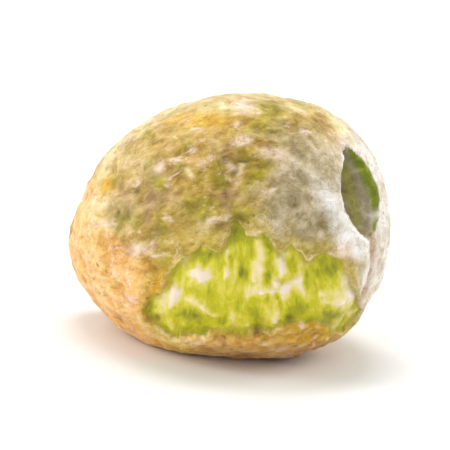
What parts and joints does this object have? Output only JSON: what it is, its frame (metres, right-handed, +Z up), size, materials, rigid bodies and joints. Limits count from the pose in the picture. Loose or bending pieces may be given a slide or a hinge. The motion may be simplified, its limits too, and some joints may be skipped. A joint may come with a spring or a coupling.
{
  "type": "shelled pistachio kernel",
  "caption": "Shelled pistachio kernel with papery skin partly worn to green flesh, pointed at the tip and slightly split at the blunt end; a small garnish or snack prop.",
  "frame": {"origin": "middle of the bounding box's underside, on the surface that the kernel rests on", "axes": "+X along the kernel towards its blunt, split end, -X towards the pointed tip; +Y through both seed leaves, towards the back one; +Z up"},
  "size_m": [0.0158, 0.0094, 0.0111],
  "materials": {
    "kernel": "thin papery skin, tan and mottled, worn through to waxy yellow-green flesh; wood stands in for plant tissue"
  },
  "bodies": {
    "root": {"kernel": "kernel"}
  },
  "joints": []
}
